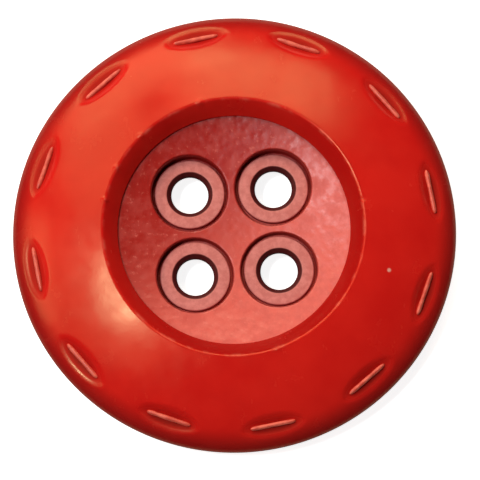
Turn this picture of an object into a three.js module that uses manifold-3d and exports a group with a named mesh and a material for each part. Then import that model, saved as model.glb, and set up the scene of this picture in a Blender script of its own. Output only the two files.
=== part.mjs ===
// A 40 ligne, four-hole sew-on coat button, built as a combination button: a glossy domed rim shell with an
// imitation hand-stitched border, a satin dished centre, a back plate that closes the hollow rim, four thread
// eyelets that line the holes and hold centre and back together, and twelve stitch inlays in the border.
// Millimetres, +Z is the face. The origin is the middle of the flat back, X and Y run along the rows of holes.
import * as THREE from "three";
import { mergeVertices } from "three/addons/utils/BufferGeometryUtils.js";
import Module from "manifold-3d";

const wasm = await Module();
wasm.setup();

// ---- driving dimensions ----
const LIGNE = 25.4 / 40;
const OUTER_R = (40 * LIGNE) / 2;
const WIDEST_Z = 1.45; // height of the widest circle of the rim
const DOME_RISE = 2.7; // how far above that circle the dome's curve would reach on the axis
const DOME_POWER = 0.66; // a ball's would be 0.5
const LIP_R = 7.46; // where the dome turns into the well
const LIP_Z = domeHeight(LIP_R);
const WELL_R = 6.64; // where the well's wall meets the centre disc
const WELL_Z = 2.58;
const DISH_DEPTH = 0.68; // how far the centre disc's face sinks from its edge to its middle
const WALL = 0.95; // thickness of the rim shell
const BACK_T = 0.8; // thickness of the back plate
const FIT = 0.03; // glue film or press clearance between two pieces
const ABOVE = 5; // clear of the whole button, for cutters

const HOLE_PITCH = 4.8; // between neighbouring thread holes
const THREAD_R = 1.03; // the clear way for needle and thread
const THROAT_Z = 1.36; // the height at which the thread hole is narrowest
const EYELET_MOUTH_R = 1.32;
const EYELET_RING_R = 2.02;
const EYELET_RING_Z = 1.64;
const EYELET_BARREL_R = 1.55;
const POCKET_R = 2.18;
const POCKET_DEPTH = 0.36; // below the eyelet ring's face

const STITCHES = 12;
const STITCH_PHASE = THREE.MathUtils.degToRad(7.2); // the border isn't lined up with the holes
const STITCH_CIRCLE_R = 11.5;
const STITCH_LENGTH = 2.6;
const STITCH_R = 0.15;
const DENT_HALF_LENGTH = 1.62;
const DENT_HALF_WIDTH = 0.52;
const DENT_DEPTH = 0.24;
const STITCH_SINK = 0.12; // the inlay's middle line below the dome's surface

const TAIL_R = 1.85; // the eyelet's flared end in the back plate
const TAIL_MOUTH_R = 1.34;
const TAIL_H = 0.34;
const TAIL_RECESS = 0.04; // how far the flared end stays inside the flat back

const AROUND = 72; // facets of the large turned pieces
const AROUND_HOLE = 20;

// ---- materials ----
const glossyRed = new THREE.MeshStandardMaterial({ color: 0xd0331c, roughness: 0.22, metalness: 0 });
const satinRed = new THREE.MeshStandardMaterial({ color: 0xc9524a, roughness: 0.55, metalness: 0 });
const eyeletRose = new THREE.MeshStandardMaterial({ color: 0xb86a64, roughness: 0.6, metalness: 0 });
const stitchCoral = new THREE.MeshStandardMaterial({ color: 0xee6a55, roughness: 0.4, metalness: 0 });
const backRed = new THREE.MeshStandardMaterial({ color: 0xb5291b, roughness: 0.45, metalness: 0 });

// ---- helpers ----
// A closed geometry as a manifold solid.
function solidOf(geometry) {
  const bare = geometry.index ? geometry.toNonIndexed() : geometry.clone();
  bare.deleteAttribute("normal");
  bare.deleteAttribute("uv");
  const merged = mergeVertices(bare, 1e-4);
  const vertProperties = merged.attributes.position.array;
  const triVerts = new Uint32Array(merged.index.array);
  return new wasm.Manifold(new wasm.Mesh({ numProp: 3, vertProperties, triVerts }));
}

// A manifold solid back as a geometry.
function geometryOf(solid) {
  const mesh = solid.getMesh();
  const geometry = new THREE.BufferGeometry();
  geometry.setAttribute("position", new THREE.BufferAttribute(mesh.vertProperties, 3));
  geometry.setIndex(new THREE.BufferAttribute(mesh.triVerts, 1));
  geometry.computeVertexNormals();
  return geometry;
}

// Turns a profile of [radius, height] points about the Z axis.
function turned(profile, facets) {
  const points = profile.map(([r, z]) => new THREE.Vector2(r, z));
  return new THREE.LatheGeometry(points, facets).rotateX(Math.PI / 2);
}

// Points on a quarter-ellipse-like arc about (cr, cz), from angle a0 to a1 in degrees, both ends included.
function arc(cr, cz, radiusR, radiusZ, a0, a1, steps) {
  return Array.from({ length: steps + 1 }, (_, i) => {
    const a = THREE.MathUtils.degToRad(a0 + ((a1 - a0) * i) / steps);
    return [cr + radiusR * Math.cos(a), cz + radiusZ * Math.sin(a)];
  });
}

function named(name, geometry, material) {
  const mesh = new THREE.Mesh(geometry, material);
  mesh.name = name;
  return mesh;
}

// ---- the dome's own curve, shared by the shell and the stitched border ----
function domeHeight(r) {
  return WIDEST_Z + DOME_RISE * (1 - (r / OUTER_R) ** 2) ** DOME_POWER;
}

// Angle of the dome's surface below level, in radians.
function domeSlope(r) {
  const step = 0.01;
  return Math.atan((domeHeight(r - step) - domeHeight(r + step)) / (2 * step));
}

// Points up the dome from its widest circle, closer together where it is steep.
function domeProfile(innerR, steps) {
  return Array.from({ length: steps + 1 }, (_, i) => {
    const r = innerR + (OUTER_R - innerR) * Math.cos((i / steps) * (Math.PI / 2));
    return [r, domeHeight(r)];
  });
}

// Points of the hollow's roof, which follows the dome from the inner wall out.
function roofProfile(steps) {
  return Array.from({ length: steps + 1 }, (_, i) => {
    const r = HUB_R + ((FOOT_IN_R - HUB_R) * i) / steps;
    return [r, domeHeight(r) - WALL];
  });
}

// ---- the four places of the holes ----
const holes = [
  [-1, 1],
  [1, 1],
  [-1, -1],
  [1, -1],
].map(([x, y]) => [(x * HOLE_PITCH) / 2, (y * HOLE_PITCH) / 2]);

const BARREL_HOLE_R = EYELET_BARREL_R + FIT;
const FLANGE_R = 7.25; // of the centre disc, under the rim's ledge
const HUB_R = 8.2; // outside of the shell's inner wall
const FOOT_IN_R = 11.2; // the back plate sits inside this circle
const DISC_EDGE_Z = WELL_Z - 0.16;
const DISC_BOTTOM_Z = BACK_T + 0.1;

// Height of the centre disc's dished face.
function dishHeight(r) {
  return DISC_EDGE_Z - DISH_DEPTH * (1 - (r / WELL_R) ** 2);
}

// ---- the border of stitches ----
const stitchZ = domeHeight(STITCH_CIRCLE_R);
const stitchTilt = domeSlope(STITCH_CIRCLE_R);

// Moves a geometry made about the origin, with Z out of the surface, to the stitch at the given angle.
function toStitch(geometry, angle) {
  return geometry.rotateY(stitchTilt).translate(STITCH_CIRCLE_R, 0, stitchZ).rotateZ(angle);
}

function dentCutter(angle) {
  const lens = new THREE.SphereGeometry(1, 12, 8);
  return toStitch(lens.scale(DENT_HALF_WIDTH, DENT_HALF_LENGTH, DENT_DEPTH), angle);
}

// The round-ended bar of one stitch, grown by the given amount all round.
function stitchBar(angle, grow) {
  const radius = STITCH_R + grow;
  const bar = new THREE.CapsuleGeometry(radius, STITCH_LENGTH - 2 * STITCH_R, 2, 8);
  return toStitch(bar.translate(0, 0, -STITCH_SINK), angle);
}

// ---- the pieces ----
function rimShell(angles) {
  const innerFit = FLANGE_R + FIT;
  const profile = [
    [FOOT_IN_R + 0.15, 0],
    [OUTER_R - 0.95, 0],
    ...arc(OUTER_R - 1.15, WIDEST_Z, 1.15, WIDEST_Z - 0.12, -78, -15, 3), // rounded foot, up to the widest
    ...domeProfile(LIP_R + 0.1, 10),
    [LIP_R, LIP_Z - 0.03], // the rounded lip, then the well's sloping wall
    [LIP_R - 0.1, LIP_Z - 0.14],
    [WELL_R + 0.22, WELL_Z + 0.16],
    [WELL_R, WELL_Z],
    [WELL_R, DISC_EDGE_Z + FIT], // the ledge that the centre disc comes up against
    [innerFit, DISC_EDGE_Z + FIT],
    [innerFit, DISC_BOTTOM_Z],
    [HUB_R, DISC_BOTTOM_Z],
    ...roofProfile(4), // the hollow inside the rim
    [FOOT_IN_R, 0.15],
    [FOOT_IN_R + 0.15, 0],
  ];
  let shell = solidOf(turned(profile, AROUND));
  for (const angle of angles) {
    shell = shell.subtract(solidOf(dentCutter(angle)));
    shell = shell.subtract(solidOf(stitchBar(angle, FIT)));
  }
  return named("rim_shell", geometryOf(shell), glossyRed);
}

function centreDisc() {
  const face = [6.64, 5.3, 4.0, 2.6, 1.3, 0].map((r) => [r, dishHeight(r)]);
  const profile = [
    [0, DISC_BOTTOM_Z],
    [FLANGE_R - 0.1, DISC_BOTTOM_Z],
    [FLANGE_R, DISC_BOTTOM_Z + 0.1],
    [FLANGE_R, DISC_EDGE_Z],
    ...face,
  ];
  let disc = solidOf(turned(profile, AROUND));
  const pocketZ = EYELET_RING_Z - POCKET_DEPTH;
  const pocket = [
    [0, -1],
    [BARREL_HOLE_R, -1],
    [BARREL_HOLE_R, pocketZ],
    [POCKET_R, pocketZ],
    [POCKET_R, ABOVE],
    [0, ABOVE],
  ];
  for (const [x, y] of holes) {
    disc = disc.subtract(solidOf(turned(pocket, AROUND_HOLE).translate(x, y, 0)));
  }
  return named("centre_disc", geometryOf(disc), satinRed);
}

function backPlate() {
  const edgeR = FOOT_IN_R - 0.05;
  const spigotIn = HUB_R + 0.06;
  const spigotOut = spigotIn + 0.6;
  const profile = [
    [0, 0],
    [edgeR - 0.15, 0],
    [edgeR, 0.15],
    [edgeR, BACK_T],
    [spigotOut, BACK_T],
    [spigotOut, BACK_T + 0.7], // the ring that locates the plate round the shell's inner wall
    [spigotIn, BACK_T + 0.7],
    [spigotIn, BACK_T],
    [FLANGE_R - 0.1, BACK_T],
    [FLANGE_R - 0.1, DISC_BOTTOM_Z - FIT], // the low boss that presses the centre disc home
    [0, DISC_BOTTOM_Z - FIT],
  ];
  let plate = solidOf(turned(profile, AROUND));
  const flaredHole = [
    [0, -1],
    [TAIL_R + 0.05, -1],
    [TAIL_R + 0.05, TAIL_RECESS],
    [BARREL_HOLE_R, TAIL_RECESS + TAIL_H],
    [BARREL_HOLE_R, ABOVE],
    [0, ABOVE],
  ];
  for (const [x, y] of holes) {
    plate = plate.subtract(solidOf(turned(flaredHole, AROUND_HOLE).translate(x, y, 0)));
  }
  return named("back_plate", geometryOf(plate), backRed);
}

function eyelet(number, [x, y]) {
  const flangeZ = EYELET_RING_Z - POCKET_DEPTH + FIT;
  const profile = [
    [THREAD_R, THROAT_Z],
    [TAIL_MOUTH_R, TAIL_RECESS],
    [TAIL_R, TAIL_RECESS],
    [EYELET_BARREL_R, TAIL_H + TAIL_RECESS],
    [EYELET_BARREL_R, flangeZ],
    [EYELET_RING_R, flangeZ],
    [EYELET_RING_R, EYELET_RING_Z - 0.05],
    [EYELET_RING_R - 0.05, EYELET_RING_Z],
    [EYELET_MOUTH_R + 0.04, EYELET_RING_Z],
    [EYELET_MOUTH_R - 0.02, EYELET_RING_Z - 0.05], // the rounded edge that the thread runs over
    [THREAD_R, THROAT_Z],
  ];
  return named(`eyelet_${number}`, turned(profile, AROUND_HOLE).translate(x, y, 0), eyeletRose);
}

function stitch(number, angle) {
  const label = String(number).padStart(2, "0");
  return named(`stitch_${label}`, geometryOf(solidOf(stitchBar(angle, 0))), stitchCoral);
}

// ---- assembly ----
const stitchAngles = Array.from({ length: STITCHES }, (_, i) => STITCH_PHASE + (i * 2 * Math.PI) / STITCHES);

const button = new THREE.Group();
button.add(rimShell(stitchAngles));
button.add(centreDisc());
button.add(backPlate());
holes.forEach((place, i) => button.add(eyelet(i + 1, place)));
stitchAngles.forEach((angle, i) => button.add(stitch(i + 1, angle)));

export default button;
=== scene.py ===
"""A red four-hole sew-on coat button.

It has a glossy domed rim with a stitched border, a satin dished centre, rose eyelets and a flat back.
"""

import math
import random

import bmesh
import bpy
from mathutils import Matrix, Vector, geometry, noise


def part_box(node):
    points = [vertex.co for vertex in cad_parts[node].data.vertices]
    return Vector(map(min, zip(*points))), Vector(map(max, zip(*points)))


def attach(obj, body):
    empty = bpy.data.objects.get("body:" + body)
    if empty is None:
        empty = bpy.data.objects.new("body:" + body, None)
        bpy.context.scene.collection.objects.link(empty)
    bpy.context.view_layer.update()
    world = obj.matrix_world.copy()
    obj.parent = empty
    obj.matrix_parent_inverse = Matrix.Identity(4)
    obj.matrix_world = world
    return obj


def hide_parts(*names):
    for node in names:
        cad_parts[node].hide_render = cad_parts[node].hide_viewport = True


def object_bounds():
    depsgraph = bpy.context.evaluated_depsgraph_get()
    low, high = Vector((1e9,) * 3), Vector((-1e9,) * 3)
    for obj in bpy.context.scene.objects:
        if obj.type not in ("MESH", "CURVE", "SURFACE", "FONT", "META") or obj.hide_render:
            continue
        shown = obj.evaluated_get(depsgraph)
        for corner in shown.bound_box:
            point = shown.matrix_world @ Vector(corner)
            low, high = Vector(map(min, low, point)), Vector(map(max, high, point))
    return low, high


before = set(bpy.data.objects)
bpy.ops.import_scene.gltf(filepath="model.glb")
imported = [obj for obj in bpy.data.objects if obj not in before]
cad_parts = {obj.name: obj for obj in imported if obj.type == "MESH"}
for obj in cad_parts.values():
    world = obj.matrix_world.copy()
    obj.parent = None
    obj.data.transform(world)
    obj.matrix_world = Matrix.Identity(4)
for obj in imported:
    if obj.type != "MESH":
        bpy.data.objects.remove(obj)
cad_low, cad_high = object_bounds()

MM = 0.001
TAU = 2 * math.pi

# ---- places and sizes read from the frame, in millimetres ----
OUTER_R = cad_high.x / MM
HOLES = ["eyelet_1", "eyelet_2", "eyelet_3", "eyelet_4"]
STITCHES = [f"stitch_{i:02d}" for i in range(1, 13)]


def box_centre(node):
    low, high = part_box(node)
    return (low + high) / 2 / MM


def box_top(node):
    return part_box(node)[1].z / MM


hole_centres = [box_centre(n).to_2d() for n in HOLES]
stitch_centres = [box_centre(n) for n in STITCHES]
stitch_angles = [math.atan2(c.y, c.x) for c in stitch_centres]

# ---- the button's own dimensions, in millimetres ----
WIDEST_Z, DOME_RISE, DOME_POWER = 1.45, 2.7, 0.66
LIP_R = 7.46
WELL_R, WELL_Z = 6.64, 2.58
FOOT_IN_R, HUB_R, FLANGE_R = 11.2, 8.2, 7.25
BACK_T = 0.8
DISC_BOTTOM_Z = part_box("centre_disc")[0].z / MM
DISC_EDGE_Z = box_top("centre_disc")
DISH_DEPTH = 0.68
FIT = 0.03
WALL = 0.95
EDGE_ROUND, FIT_ROUND = 0.03, 0.02  # rounding of plain edges and of edges at a fit

FOOT_ROUND = 1.15  # how far the rounded foot reaches in below the widest circle
FOOT_CHAMFER = 0.15
FOOT_LIFT = 0.02
FOOT_FROM = -88  # degrees below the widest circle at which the foot's curve starts
LIP_ROUND, LIP_EASE = 0.12, 0.1
SEAM_ROUND, SEAM_EASE = 0.04, (0.04, 0.03)  # where the well's wall ends over the centre
WALL_SWELL = 0.05
DOME_STEPS, FOOT_STEPS, WALL_STEPS, HOLLOW_STEPS = 84, 15, 8, 8

POCKET_R, POCKET_DEPTH = 2.18, 0.36
POCKET_ROUND = 0.1
EYELET_Z = box_top("eyelet_1")
POCKET_Z = EYELET_Z - POCKET_DEPTH
RING_R, MOUTH_R, THREAD_R, THROAT_Z = 2.02, 1.32, 1.03, 1.36
BARREL_R = 1.55
TAIL_R, TAIL_MOUTH_R, TAIL_H, TAIL_RECESS = 1.85, 1.34, 0.34, 0.04
TAIL_CLEAR = 0.05

PLATE_CHAMFER = 0.1  # on the centre's lower edge
POCKET_CHAMFER = 0.04
BOSS_INSET = 0.1
BACK_CLEAR, BACK_EASE = 0.05, 0.2  # the back plate's gap inside the rim's foot, and its rounded edge
LOCATOR_CLEAR, LOCATOR_T, LOCATOR_H = 0.06, 0.6, 0.7  # the back plate's locating ring, inside the hollow rim

STITCH_CIRCLE_R = 11.5
STITCH_LENGTH, STITCH_R = 2.6, 0.125
STITCH_RINGS, STITCH_SIDES = 30, 14
DENT_HALF_LENGTH, DENT_HALF_WIDTH, DENT_DEPTH = 1.9, 0.82, 0.21
DENT_SHADE_WIDTH = 0.62 * DENT_HALF_WIDTH  # the painted shade stays inside the dent
BORDER_IN_R = 9.5  # no dent reaches further in

AROUND = 600  # facets of the rim
AROUND_DISC = 240
AROUND_HOLE = 72

PAINTED_LIGHT_TOWARDS = -50  # degrees in the XY plane: the level direction along which light and shade are painted in the well; the centre is painted lighter and the wall darker towards it
SPECK = (8.62, -3.12)  # a pale speck on the dome

# ---- the view: how the camera stands over the button ----
TILT = math.radians(11.5)  # off the button's axis
TILT_TOWARDS = math.radians(271.0)  # in the button's own XY plane
ROLL = math.radians(3.95)  # the rows of holes against the level
CAMERA_DISTANCE = 230 * MM
VIEW_WIDTH = 27.5 * MM
AIM = (0.325, -0.40)  # how far the view's middle is from the button's, in millimetres
SENSOR_WIDTH = 36  # millimetres, as Blender counts it
CLIP = (0.01, 10)  # metres

# ---- the stage ----
FLOOR_HALF, FLOOR_Z = 1500, -0.002
FLOOR_GLOW = 0.88  # keeps the floor pale in the picture without lighting the button
LIGHT_DISTANCE = 0.5  # metres


# ==== shapes ====
def dome_height(r):
    return WIDEST_Z + DOME_RISE * max(0.0, 1 - (r / OUTER_R) ** 2) ** DOME_POWER


def dome_slope(r):
    """The angle at which the dome falls outwards."""
    step = 0.01
    return math.atan((dome_height(r - step) - dome_height(r + step)) / (2 * step))


def dish_height(r):
    return DISC_EDGE_Z - DISH_DEPTH * max(0.0, 1 - (r / WELL_R) ** 2)


def rounded(corners, steps=4):
    """A closed outline from corners (r, z, rounding): each corner is turned into a short curve."""
    outline = []
    for i, (r, z, size) in enumerate(corners):
        corner = Vector((r, z))
        if size == 0:
            outline.append(corner)
            continue
        before = Vector(corners[i - 1][:2])
        after = Vector(corners[(i + 1) % len(corners)][:2])
        start = corner + (before - corner).normalized() * size
        end = corner + (after - corner).normalized() * size
        for k in range(steps + 1):
            t = k / steps
            outline.append((1 - t) ** 2 * start + 2 * t * (1 - t) * corner + t**2 * end)
    return outline


def new_object(name, bm, angle=40):
    """Turns a bmesh made in millimetres into a smooth-shaded object in metres."""
    bmesh.ops.recalc_face_normals(bm, faces=bm.faces)
    mesh = bpy.data.meshes.new(name)
    bm.to_mesh(mesh)
    bm.free()
    mesh.transform(Matrix.Scale(MM, 4))
    mesh.shade_smooth()
    mesh.set_sharp_from_angle(angle=math.radians(angle))
    obj = bpy.data.objects.new(name, mesh)
    bpy.context.scene.collection.objects.link(obj)
    return obj


def turned_strip(bm, outline, around, centre=(0, 0), closed=True):
    """Turns an outline of (r, z) about the Z axis through centre. Returns the rings of vertices."""
    rings = []
    for r, z in outline:
        ring = []
        for k in range(around):
            a = TAU * k / around
            height = z(centre[0] + r * math.cos(a), centre[1] + r * math.sin(a)) if callable(z) else z
            ring.append(bm.verts.new((centre[0] + r * math.cos(a), centre[1] + r * math.sin(a), height)))
        rings.append(ring)
    pairs = list(zip(rings, rings[1:] + rings[:1])) if closed else list(zip(rings, rings[1:]))
    for low, high in pairs:
        for k in range(around):
            n = (k + 1) % around
            bm.faces.new((low[k], low[n], high[n], high[k]))
    return rings


def bell(x):
    """1 at 0, falling smoothly to 0 at 1 and beyond."""
    return max(0.0, 1 - x * x) ** 2


def dent_depth(x, y, r):
    """How deep the stitched border is dented at a point of the dome."""
    angle = math.atan2(y, x)
    nearest = min(stitch_angles, key=lambda a: abs(math.remainder(a - angle, TAU)))
    turn = math.remainder(angle - nearest, TAU)
    along = r * math.sin(turn)
    across = (r * math.cos(turn) - STITCH_CIRCLE_R) / math.cos(dome_slope(STITCH_CIRCLE_R))
    if abs(along) >= DENT_HALF_LENGTH:
        return 0.0
    ends = 1 - (along / DENT_HALF_LENGTH) ** 2
    return DENT_DEPTH * ends * bell(across / (DENT_HALF_WIDTH * math.sqrt(ends)))


# Small nicks and swellings of the lip: angle in degrees, height in millimetres, half width in degrees.
LIP_FLAWS = [
    (101, 0.07, 2.0),
    (131, 0.06, 1.6),
    (149, 0.08, 1.8),
    (164, 0.09, 1.5),
    (8, -0.05, 1.4),
    (286, 0.04, 2.5),
]
LIP_FLAW_REACH = 0.3


def lip_flaw(x, y, r):
    """How much the lip is raised or nicked at a point near it."""
    if abs(r - LIP_R) > LIP_FLAW_REACH:
        return 0.0
    angle = math.degrees(math.atan2(y, x))
    height = sum(h * bell(math.remainder(angle - a, 360) / w) for a, h, w in LIP_FLAWS)
    return height * bell((r - LIP_R) / LIP_FLAW_REACH)


def rim_outline():
    """The rim's section as corners (r, z, rounding): up from the foot, over the dome, down into the well."""
    lip_z = dome_height(LIP_R)
    dome = []
    for i in range(DOME_STEPS):
        r = LIP_R + (OUTER_R - LIP_R) * math.cos(i / DOME_STEPS * math.pi / 2)
        dome.append((r, dome_height(r), 0))
    foot = []
    for i in range(FOOT_STEPS):
        a = math.radians(FOOT_FROM * (1 - i / FOOT_STEPS))
        r = OUTER_R - FOOT_ROUND + FOOT_ROUND * math.cos(a)
        foot.append((r, WIDEST_Z + (WIDEST_Z - FOOT_LIFT) * math.sin(a), 0))
    top_r, top_z = LIP_R - LIP_EASE, lip_z - LIP_EASE
    foot_r, foot_z = WELL_R + SEAM_EASE[0], WELL_Z + SEAM_EASE[1]
    wall = []
    for i in range(1, WALL_STEPS):
        t = i / WALL_STEPS
        swell = WALL_SWELL * math.sin(math.pi * t)
        wall.append((top_r + t * (foot_r - top_r), top_z + t * (foot_z - top_z) + swell, 0))
    hollow = []
    for i in range(HOLLOW_STEPS + 1):
        r = HUB_R + (FOOT_IN_R - HUB_R) * i / HOLLOW_STEPS
        hollow.append((r, dome_height(r) - WALL, 0))
    fit_r, fit_z = FLANGE_R + FIT, DISC_EDGE_Z + FIT
    round_the_centre = [
        (WELL_R, WELL_Z, SEAM_ROUND),
        (WELL_R, fit_z, FIT_ROUND),
        (fit_r, fit_z, FIT_ROUND),
        (fit_r, DISC_BOTTOM_Z, EDGE_ROUND),
        (HUB_R, DISC_BOTTOM_Z, EDGE_ROUND),
    ]
    heel = (FOOT_IN_R + FOOT_CHAMFER, 0, EDGE_ROUND)
    inner_heel = (FOOT_IN_R, FOOT_CHAMFER, EDGE_ROUND)
    return [heel, *foot, *dome, (LIP_R, lip_z, LIP_ROUND), *wall, *round_the_centre, *hollow, inner_heel]


def make_rim():
    tolerance, well_edge = 0.01, 0.2
    bm = bmesh.new()
    turned_strip(bm, rounded(rim_outline()), AROUND)
    for v in bm.verts:
        x, y, z = v.co
        r = math.hypot(x, y)
        on_dome = abs(z - dome_height(r)) < tolerance
        if BORDER_IN_R < r < OUTER_R and on_dome:
            depth = dent_depth(x, y, r)
            if depth:
                slope = dome_slope(r)
                outwards = Vector((x / r * math.sin(slope), y / r * math.sin(slope), math.cos(slope)))
                v.co -= outwards * depth
        elif z > WELL_Z + well_edge:
            v.co.z += lip_flaw(x, y, r)
    return new_object("button_rim", bm, angle=50)


def flat_patch(bm, radius, hole_radius, offsets, height):
    """A round face with four round holes, triangulated, whose heights come from height(x, y)."""
    spacing, edge_gap, hole_gap, least_r = 0.22, 0.12, 0.05, 0.1
    just_inside = 0.999
    points, edges = [], []

    def add_ring(cx, cy, r, count, is_edge):
        first = len(points)
        for k in range(count):
            a = TAU * k / count
            points.append(Vector((cx + r * math.cos(a), cy + r * math.sin(a))))
        if is_edge:
            edges.extend((first + k, first + (k + 1) % count) for k in range(count))

    add_ring(0, 0, radius, AROUND_DISC, True)
    for cx, cy in hole_centres:
        for i, offset in enumerate([0, *offsets]):
            add_ring(cx, cy, hole_radius + offset, AROUND_HOLE, i == 0)
    keep_clear = hole_radius + max([0, *offsets]) + hole_gap
    r = radius - edge_gap
    while r > least_r:
        count = max(8, round(TAU * r / spacing))
        for k in range(count):
            a = TAU * (k + 0.5 * (round(r / spacing) % 2)) / count
            p = Vector((r * math.cos(a), r * math.sin(a)))
            if all((p - c).length > keep_clear for c in hole_centres):
                points.append(p)
        r -= spacing
    inside_the_edges, tolerance = 1, 1e-6
    verts, _, faces, *_ = geometry.delaunay_2d_cdt(points, edges, [], inside_the_edges, tolerance)
    made = [bm.verts.new((v.x, v.y, height(v.x, v.y))) for v in verts]
    for face in faces:
        middle = sum((verts[i] for i in face), Vector((0, 0))) / len(face)
        if all((middle - c).length > hole_radius * just_inside for c in hole_centres):
            bm.faces.new([made[i] for i in face])


def nearest_hole(x, y):
    return min((Vector((x, y)) - c).length for c in hole_centres)


def punched_plate(name, side, hole_outline, top, top_offsets, bottom, bottom_offsets):
    """A turned plate with four holes, each turned from hole_outline, which runs downwards.

    side runs from the bottom face's edge to the top face's edge. top and bottom give the faces' heights, and
    the offsets say how far round each hole the faces have rings of points.
    """
    bm = bmesh.new()
    turned_strip(bm, side, AROUND_DISC, closed=False)
    flat_patch(bm, side[-1][0], hole_outline[0][0], top_offsets, top)
    flat_patch(bm, side[0][0], hole_outline[-1][0], bottom_offsets, bottom)
    for centre in hole_centres:
        turned_strip(bm, hole_outline, AROUND_HOLE, centre, closed=False)
    bmesh.ops.remove_doubles(bm, verts=bm.verts, dist=1e-4)
    return new_object(name, bm, angle=45)


def make_centre():
    grain_depth, grain_per_mm = 0.006, 1.9

    def top(x, y):
        r = math.hypot(x, y)
        near = nearest_hole(x, y) - POCKET_R
        sink = 0.0
        if near < POCKET_ROUND:
            sink = POCKET_ROUND - math.sqrt(max(0.0, POCKET_ROUND**2 - (POCKET_ROUND - near) ** 2))
        grain = grain_depth * noise.noise(Vector((x, y, 0)) * grain_per_mm) if r < WELL_R else 0.0
        return min(dish_height(r), DISC_EDGE_Z) - sink + grain

    def bottom(x, y):
        return DISC_BOTTOM_Z

    hole_r = BARREL_R + FIT
    side = [
        (FLANGE_R - PLATE_CHAMFER, DISC_BOTTOM_Z),
        (FLANGE_R, DISC_BOTTOM_Z + PLATE_CHAMFER),
        (FLANGE_R, DISC_EDGE_Z),
    ]
    hole_outline = [
        (POCKET_R, top),
        (POCKET_R, POCKET_Z + POCKET_CHAMFER),
        (POCKET_R - POCKET_CHAMFER, POCKET_Z),
        (hole_r, POCKET_Z),
        (hole_r, DISC_BOTTOM_Z),
    ]
    top_offsets = [0.012, 0.03, 0.06, 0.1, 0.15]  # close together over the pocket's rounded edge
    return punched_plate("button_centre", side, hole_outline, top, top_offsets, bottom, [0.2])


def make_back():
    boss_r, boss_z = FLANGE_R - BOSS_INSET, DISC_BOTTOM_Z - FIT
    edge_r = FOOT_IN_R - BACK_CLEAR
    ring_in = HUB_R + LOCATOR_CLEAR
    ring_out = ring_in + LOCATOR_T
    side = [
        (edge_r - BACK_EASE, 0),
        (edge_r - BACK_EASE / 2, BACK_EASE / 10),
        (edge_r - BACK_EASE / 10, BACK_EASE / 2),
        (edge_r, BACK_EASE),
        (edge_r, BACK_T),
        (ring_out, BACK_T),
        (ring_out, BACK_T + LOCATOR_H),
        (ring_in, BACK_T + LOCATOR_H),
        (ring_in, BACK_T),
        (boss_r, BACK_T),
        (boss_r, boss_z),
    ]
    hole_r, flare_r = BARREL_R + FIT, TAIL_R + TAIL_CLEAR
    hole_outline = [
        (hole_r, boss_z),
        (hole_r, TAIL_RECESS + TAIL_H),
        (flare_r, TAIL_RECESS),
        (flare_r, 0),
    ]

    def top(x, y):
        return boss_z

    def bottom(x, y):
        return 0.0

    return punched_plate("button_back", side, hole_outline, top, [0.2], bottom, [0.03, 0.08])


def make_eyelet(name, centre):
    flange_z = POCKET_Z + FIT
    corners = [  # (r, z, rounding)
        (THREAD_R, THROAT_Z, 0.15),
        (TAIL_MOUTH_R, TAIL_RECESS, 0.06),
        (TAIL_R, TAIL_RECESS, 0.06),
        (BARREL_R, TAIL_RECESS + TAIL_H, 0.05),
        (BARREL_R, flange_z, 0.02),
        (RING_R, flange_z, 0.04),
        (RING_R, EYELET_Z, 0.07),
        (MOUTH_R, EYELET_Z, 0.06),
    ]
    bm = bmesh.new()
    turned_strip(bm, rounded(corners, 5), AROUND_HOLE, centre)
    return new_object(name, bm)


def make_stitch(name, centre, rng):
    """A bar with rounded ends, a little uneven along its length, that lies along the border."""
    bluntness = 9
    unevenness, uneven_per_mm = 0.12, 1.6
    waviness, waves_per_mm = 0.02, 0.9
    place = (
        Matrix.Translation(centre)
        @ Matrix.Rotation(math.atan2(centre.y, centre.x), 4, "Z")
        @ Matrix.Rotation(dome_slope(math.hypot(centre.x, centre.y)), 4, "Y")
    )
    seed = Vector((rng.uniform(0, 50), 0, 0))
    bm = bmesh.new()
    rings = []
    for i in range(STITCH_RINGS + 1):
        t = math.sin((-1 + 2 * i / STITCH_RINGS) * math.pi / 2)  # closer together at the ends
        y = t * STITCH_LENGTH / 2
        size = STITCH_R * max(0.0, 1 - abs(t) ** bluntness) ** 0.5
        size *= 1 + unevenness * noise.noise(seed + Vector((0, y * uneven_per_mm, 0)))
        lift = waviness * noise.noise(seed + Vector((9, y * waves_per_mm, 0)))
        if i in (0, STITCH_RINGS):
            rings.append([bm.verts.new((0, y, lift))])
            continue
        ring = []
        for k in range(STITCH_SIDES):
            a = TAU * k / STITCH_SIDES
            ring.append(bm.verts.new((size * math.cos(a), y, lift + size * math.sin(a))))
        rings.append(ring)
    for low, high in zip(rings, rings[1:]):
        for k in range(STITCH_SIDES):
            n = (k + 1) % STITCH_SIDES
            quad = [low[k % len(low)], low[n % len(low)], high[n % len(high)], high[k % len(high)]]
            bm.faces.new(list(dict.fromkeys(quad)))
    bmesh.ops.transform(bm, matrix=place, verts=bm.verts)
    return new_object(name, bm, angle=60)


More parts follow.
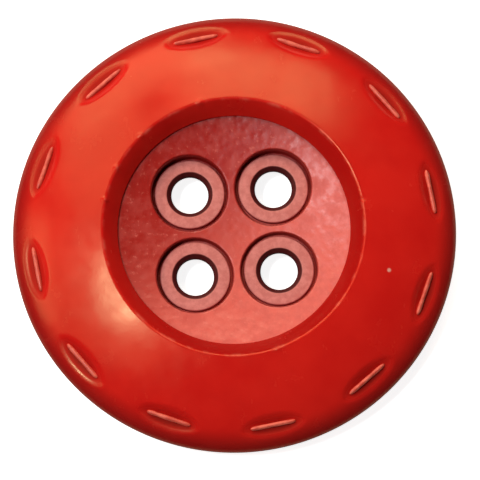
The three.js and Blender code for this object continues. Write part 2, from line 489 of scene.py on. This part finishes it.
# ==== materials ====
class Surface:
    """A node material under construction, with short calls for the nodes it uses."""

    def __init__(self, name):
        self.material = bpy.data.materials.new(name)
        self.material.use_nodes = True
        self.tree = self.material.node_tree
        self.shader = self.tree.nodes["Principled BSDF"]
        self.place = self.add("ShaderNodeTexCoord").outputs["Object"]

    def add(self, kind, **settings):
        node = self.tree.nodes.new(kind)
        for key, value in settings.items():
            setattr(node, key, value)
        return node

    def join(self, source, target):
        if isinstance(source, (int, float, tuple)):
            target.default_value = source
        else:
            self.tree.links.new(source, target)

    def noise(self, size_mm, detail=3.0, roughness=0.55, stretch=None):
        """Soft noise whose features are about size_mm across."""
        node = self.add("ShaderNodeTexNoise")
        node.inputs["Scale"].default_value = 1 / (size_mm * MM)
        node.inputs["Detail"].default_value = detail
        node.inputs["Roughness"].default_value = roughness
        place = self.place
        if stretch:
            mapping = self.add("ShaderNodeMapping")
            mapping.inputs["Scale"].default_value = stretch
            self.join(place, mapping.inputs["Vector"])
            place = mapping.outputs["Vector"]
        self.join(place, node.inputs["Vector"])
        return node.outputs["Fac"]

    def cells(self, size_mm):
        """Soft round cells about size_mm across."""
        node = self.add("ShaderNodeTexVoronoi", feature="SMOOTH_F1")
        node.inputs["Scale"].default_value = 1 / (size_mm * MM)
        self.join(self.place, node.inputs["Vector"])
        return node.outputs["Distance"]

    def ramp(self, source, low, high, from_low=0.0, from_high=1.0):
        """Maps source from one range to another, clamped, with soft ends."""
        node = self.add("ShaderNodeMapRange", interpolation_type="SMOOTHSTEP")
        self.join(source, node.inputs["Value"])
        node.inputs["From Min"].default_value = from_low
        node.inputs["From Max"].default_value = from_high
        node.inputs["To Min"].default_value = low
        node.inputs["To Max"].default_value = high
        return node.outputs["Result"]

    def math(self, operation, a, b=0.0):
        node = self.add("ShaderNodeMath", operation=operation)
        self.join(a, node.inputs[0])
        self.join(b, node.inputs[1])
        return node.outputs[0]

    def mix(self, factor, a, b):
        node = self.add("ShaderNodeMix", data_type="RGBA")
        self.join(factor, node.inputs["Factor"])
        self.join(a, node.inputs["A"])
        self.join(b, node.inputs["B"])
        return node.outputs["Result"]

    def distance_to(self, point_mm, place=None):
        """Distance in metres from a point of the object."""
        node = self.add("ShaderNodeVectorMath", operation="DISTANCE")
        self.join(self.place if place is None else place, node.inputs[0])
        node.inputs[1].default_value = [c * MM for c in point_mm]
        return node.outputs["Value"]

    def radius(self, centre=(0, 0)):
        """Distance in metres from the upright line through centre."""
        level = self.add("ShaderNodeVectorMath", operation="MULTIPLY")
        self.join(self.place, level.inputs[0])
        level.inputs[1].default_value = (1, 1, 0)
        return self.distance_to((*centre, 0), level.outputs["Vector"])

    def along(self, degrees):
        """How far a point lies along a level direction, in metres."""
        node = self.add("ShaderNodeVectorMath", operation="DOT_PRODUCT")
        self.join(self.place, node.inputs[0])
        a = math.radians(degrees)
        node.inputs[1].default_value = (math.cos(a), math.sin(a), 0)
        return node.outputs["Value"]

    def in_dents(self):
        """1 along the middle of every dent of the stitched border, falling to 0 at its edge."""
        parts = self.add("ShaderNodeSeparateXYZ")
        self.join(self.place, parts.inputs[0])
        turn = self.math("ARCTAN2", parts.outputs["Y"], parts.outputs["X"])
        folded = self.add("ShaderNodeMath", operation="WRAP")
        self.join(self.math("SUBTRACT", turn, stitch_angles[0]), folded.inputs[0])
        half_pitch = TAU / len(STITCHES) / 2
        folded.inputs[1].default_value = half_pitch
        folded.inputs[2].default_value = -half_pitch
        radius = self.radius()
        along = self.math("MULTIPLY", radius, self.math("SINE", folded.outputs[0]))
        outwards = self.math("MULTIPLY", radius, self.math("COSINE", folded.outputs[0]))
        across = self.math("SUBTRACT", outwards, STITCH_CIRCLE_R * MM)
        along = self.math("POWER", self.math("DIVIDE", along, DENT_HALF_LENGTH * MM), 2.0)
        across = self.math("POWER", self.math("DIVIDE", across, DENT_SHADE_WIDTH * MM), 2.0)
        return self.ramp(self.math("ADD", along, across), 1.0, 0.0)

    def ring(self, radius_mm, full_mm, none_mm, peak=1.0, centre=(0, 0)):
        """peak within full_mm of a level circle, falling to 0 at none_mm from it."""
        away = self.math("ABSOLUTE", self.math("SUBTRACT", self.radius(centre), radius_mm * MM))
        return self.ramp(away, peak, 0.0, full_mm * MM, none_mm * MM)

    def bump(self, height, distance_mm, strength, over=None):
        """A normal for a relief distance_mm deep, laid over another normal if one is given."""
        node = self.add("ShaderNodeBump")
        node.inputs["Strength"].default_value = strength
        node.inputs["Distance"].default_value = distance_mm * MM
        self.join(height, node.inputs["Height"])
        if over is not None:
            self.join(over, node.inputs["Normal"])
        return node.outputs["Normal"]

    def set(self, **values):
        """Sets or links sockets of the shader."""
        names = {
            "color": "Base Color",
            "roughness": "Roughness",
            "normal": "Normal",
            "ior": "IOR",
            "specular": "Specular IOR Level",
            "specular_tint": "Specular Tint",
            "scatter": "Subsurface Weight",
            "scatter_radius": "Subsurface Radius",
            "scatter_scale": "Subsurface Scale",
        }
        for key, value in values.items():
            self.join(value, self.shader.inputs[names[key]])


def rim_material():
    s = Surface("rim_gloss_plastic")
    clouds = s.ramp(s.noise(4.0, 3.0), 0.0, 1.0, 0.35, 0.7)
    color = s.mix(clouds, (0.72, 0.011, 0.009, 1), (0.80, 0.017, 0.012, 1))
    # The well's wall is painted darker as shade, more so towards one side.
    wall = s.ramp(s.radius(), 1.0, 0.0, (LIP_R - 0.12) * MM, (LIP_R + 0.02) * MM)
    painted_wall_shade_side = s.ramp(s.along(PAINTED_LIGHT_TOWARDS), 0.0, 0.75, -0.8 * LIP_R * MM, 0.8 * LIP_R * MM)
    color = s.mix(s.math("MULTIPLY", wall, painted_wall_shade_side), color, (0.36, 0.004, 0.004, 1))
    # The outer edge and the dents are painted darker too, as shade.
    outer_edge_shade = s.ramp(s.radius(), 0.0, 0.8, (OUTER_R - 1.3) * MM, OUTER_R * MM)
    color = s.mix(outer_edge_shade, color, (0.24, 0.008, 0.008, 1))
    dents = s.in_dents()
    color = s.mix(s.math("MULTIPLY", dents, 0.7), color, (0.30, 0.007, 0.006, 1))
    # The lip is rubbed pale in places.
    rubbed = s.ramp(s.noise(0.9, 4.0), 0.0, 0.5, 0.45, 0.7)
    worn = s.math("MULTIPLY", s.ring(LIP_R - 0.02, 0.0, 0.16), rubbed)
    color = s.mix(worn, color, (0.85, 0.16, 0.11, 1))
    speck_z = dome_height(math.hypot(*SPECK))
    speck = s.ramp(s.distance_to((*SPECK, speck_z)), 0.8, 0.0, 0.05 * MM, 0.16 * MM)
    color = s.mix(speck, color, (0.95, 0.5, 0.4, 1))
    smudges = s.ramp(s.noise(1.6, 5.0, 0.6), 0.0, 0.10, 0.35, 0.75)
    scratches = s.ramp(s.noise(0.25, 2.0, 0.5, stretch=(1, 0.06, 1)), 0.0, 0.03, 0.6, 0.75)
    polish = s.ramp(dents, 0.19, 0.5, 0.0, 0.5)
    rough = s.math("ADD", s.math("ADD", smudges, scratches), polish)
    waves = s.bump(s.noise(2.6, 2.0), 0.03, 0.5)
    normal = s.bump(s.noise(0.3, 3.0), 0.004, 0.5, waves)
    s.set(color=color, roughness=rough, normal=normal, ior=1.5)
    s.set(scatter=0.06, scatter_scale=0.0006, scatter_radius=(1.0, 0.12, 0.06))
    s.set(specular=s.ramp(dents, 0.38, 0.12, 0.0, 0.5), specular_tint=(1.0, 0.82, 0.42, 1))
    return s.material


def centre_material():
    s = Surface("centre_satin_plastic")
    # Painted light and shade: the well's floor is painted dark on its shaded side and pale pink on its lit
    # side.
    painted_light_side = s.ramp(s.along(PAINTED_LIGHT_TOWARDS), 0.0, 1.0, -0.6 * WELL_R * MM, 0.5 * WELL_R * MM)
    color = s.mix(painted_light_side, (0.46, 0.013, 0.008, 1), (0.86, 0.125, 0.095, 1))
    haze = s.ramp(s.noise(0.9, 5.0, 0.65), 0.0, 0.4, 0.38, 0.68)
    color = s.mix(haze, color, (0.60, 0.05, 0.036, 1))
    flecks = s.ramp(s.noise(0.22, 2.0, 0.5), 0.0, 0.3, 0.60, 0.74)
    color = s.mix(flecks, color, (0.92, 0.22, 0.17, 1))
    # Painted shade: a dark ring round each pocket, where the groove lies in shade.
    for centre in hole_centres:
        color = s.mix(s.ring(POCKET_R, 0.03, 0.11, 0.8, centre), color, (0.28, 0.006, 0.006, 1))
    pits = s.ramp(s.cells(0.42), 0.0, 1.0, 0.1, 0.7)
    hammered = s.bump(pits, 0.02, 0.6)
    normal = s.bump(s.noise(0.16, 3.0, 0.6), 0.011, 0.6, hammered)
    s.set(color=color, roughness=s.ramp(haze, 0.34, 0.48, 0.0, 0.4), normal=normal, ior=1.5)
    s.set(scatter=0.04, scatter_scale=0.0005, scatter_radius=(1.0, 0.15, 0.1))
    return s.material


def eyelet_material(centre):
    s = Surface("eyelet_rose_plastic")
    radius = s.radius(centre)
    mottled = s.ramp(s.noise(0.35, 4.0, 0.6), 0.0, 1.0, 0.35, 0.7)
    rose = s.mix(mottled, (0.66, 0.16, 0.14, 1), (0.78, 0.23, 0.21, 1))
    # Painted shade along the ring's outer edge, beside the groove.
    edge = s.ramp(radius, 0.0, 1.0, (RING_R - 0.12) * MM, RING_R * MM)
    rose = s.mix(edge, rose, (0.34, 0.03, 0.03, 1))
    # The throat of the hole is painted dark as shade.
    throat_shade = s.ramp(radius, 1.0, 0.0, (MOUTH_R - 0.03) * MM, (MOUTH_R + 0.03) * MM)
    color = s.mix(throat_shade, rose, (0.09, 0.006, 0.007, 1))
    normal = s.bump(s.noise(0.14, 3.0), 0.008, 0.6)
    s.set(color=color, roughness=s.ramp(mottled, 0.45, 0.6), normal=normal, ior=1.48)
    return s.material


def stitch_material():
    s = Surface("stitch_coral_plastic")
    patches = s.ramp(s.noise(0.5, 3.0), 0.0, 1.0, 0.35, 0.7)
    color = s.mix(patches, (0.74, 0.08, 0.05, 1), (0.95, 0.17, 0.11, 1))
    normal = s.bump(s.noise(0.1, 2.0), 0.006, 0.5)
    s.set(color=color, roughness=s.ramp(patches, 0.32, 0.5), normal=normal, ior=1.5)
    return s.material


def back_material():
    s = Surface("back_satin_plastic")
    clouds = s.ramp(s.noise(2.5, 4.0), 0.0, 1.0, 0.3, 0.7)
    color = s.mix(clouds, (0.50, 0.022, 0.010, 1), (0.58, 0.032, 0.016, 1))
    turning = s.add("ShaderNodeTexWave", wave_type="RINGS", rings_direction="Z")  # faint tool marks
    turning.inputs["Scale"].default_value = 1 / (1.2 * MM)
    turning.inputs["Distortion"].default_value = 0.6
    s.join(s.place, turning.inputs["Vector"])
    rings = s.bump(turning.outputs["Fac"], 0.004, 0.4)
    normal = s.bump(s.noise(0.15, 3.0), 0.006, 0.5, rings)
    s.set(color=color, roughness=s.ramp(clouds, 0.34, 0.5), normal=normal, ior=1.5)
    return s.material


# ==== the object ====
def finish_piece(piece, material, slot, *nodes):
    """Gives a piece its material and its place in the frame."""
    piece.data.materials.append(material)
    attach(piece, "root")
    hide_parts(*nodes)


finish_piece(make_rim(), rim_material(), "rim_gloss", "rim_shell")
finish_piece(make_centre(), centre_material(), "centre_satin", "centre_disc")
finish_piece(make_back(), back_material(), "back_satin", "back_plate")
for number, (node, centre) in enumerate(zip(HOLES, hole_centres), 1):
    piece = make_eyelet(f"thread_eyelet_{number}", centre)
    finish_piece(piece, eyelet_material(centre), "eyelet_rose", node)
rng = random.Random(12)
coral = stitch_material()
for number, (node, centre) in enumerate(zip(STITCHES, stitch_centres), 1):
    piece = make_stitch(f"border_stitch_{number:02d}", centre, rng)
    finish_piece(piece, coral, "stitch_coral", node)


# ==== the camera ====
def camera_axes():
    """The camera's right, up and back directions over the tilted button."""
    back = Vector((
        math.sin(TILT) * math.cos(TILT_TOWARDS),
        math.sin(TILT) * math.sin(TILT_TOWARDS),
        math.cos(TILT),
    ))
    level_up = Vector((math.sin(ROLL), math.cos(ROLL), 0))
    right = level_up.cross(back).normalized()
    return right, back.cross(right), back


right, up, back = camera_axes()
camera = bpy.data.objects.new("camera", bpy.data.cameras.new("camera"))
bpy.context.scene.collection.objects.link(camera)
camera.data.sensor_width = SENSOR_WIDTH
camera.data.lens = SENSOR_WIDTH * CAMERA_DISTANCE / VIEW_WIDTH
camera.data.clip_start, camera.data.clip_end = CLIP
aim = Vector((0, 0, WIDEST_Z * MM)) + right * AIM[0] * MM + up * AIM[1] * MM
turn = Matrix((right, up, back)).transposed().to_4x4()
camera.matrix_world = Matrix.Translation(aim + back * CAMERA_DISTANCE) @ turn
bpy.context.scene.camera = camera


# ==== the stage and the light ====
def make_floor():
    bm = bmesh.new()
    corners = [(-1, -1), (1, -1), (1, 1), (-1, 1)]
    bm.faces.new([bm.verts.new((x * FLOOR_HALF, y * FLOOR_HALF, FLOOR_Z)) for x, y in corners])
    floor = new_object("floor", bm)
    s = Surface("pale_floor")
    clouds = s.ramp(s.noise(30.0, 2.0), 0.0, 1.0, 0.3, 0.7)
    tint = s.mix(clouds, (0.86, 0.86, 0.86, 1), (0.9, 0.9, 0.9, 1))
    s.set(color=tint, roughness=0.9)
    seen = s.add("ShaderNodeLightPath").outputs["Is Camera Ray"]
    s.join((1, 1, 1, 1), s.shader.inputs["Emission Color"])
    s.join(s.math("MULTIPLY", seen, FLOOR_GLOW), s.shader.inputs["Emission Strength"])
    floor.data.materials.append(s.material)


def view_direction(azimuth, elevation):
    """A direction given by its azimuth in the picture, counted from its right towards its top."""
    a, e = math.radians(azimuth) - ROLL, math.radians(elevation)
    return Vector((math.cos(a) * math.cos(e), math.sin(a) * math.cos(e), math.sin(e)))


def add_light(name, azimuth, elevation, size, power, color):
    """A soft rectangular light that faces the button. Its size is in metres."""
    data = bpy.data.lights.new(name, "AREA")
    data.shape = "RECTANGLE"
    data.size, data.size_y = size
    data.energy = power
    data.color = color
    light = bpy.data.objects.new(name, data)
    bpy.context.scene.collection.objects.link(light)
    towards = view_direction(azimuth, elevation)
    light.location = towards * LIGHT_DISTANCE
    light.rotation_mode = "QUATERNION"
    light.rotation_quaternion = towards.to_track_quat("Z", "Y")


make_floor()
WARM, DAYLIGHT = (1.0, 0.9, 0.68), (0.84, 0.89, 0.94)
add_light("key", 116, 34, (0.34, 0.2), 0.8, WARM)
add_light("key_high", 135, 52, (0.18, 0.18), 0.24, WARM)
add_light("back_soft", 84, 48, (0.24, 0.18), 0.68, WARM)
add_light("left_low", 178, 38, (0.22, 0.16), 0.34, WARM)
add_light("left_high", 190, 62, (0.2, 0.2), 0.14, WARM)
add_light("window", 180, 69, (0.08, 0.05), 0.88, DAYLIGHT)

world = bpy.data.worlds.new("studio")
world.use_nodes = True
sky = world.node_tree.nodes["Background"]
sky.inputs["Color"].default_value = (1.0, 0.95, 0.92, 1)
sky.inputs["Strength"].default_value = 0.03
bpy.context.scene.world = world
bpy.context.scene.view_settings.view_transform = "Standard"
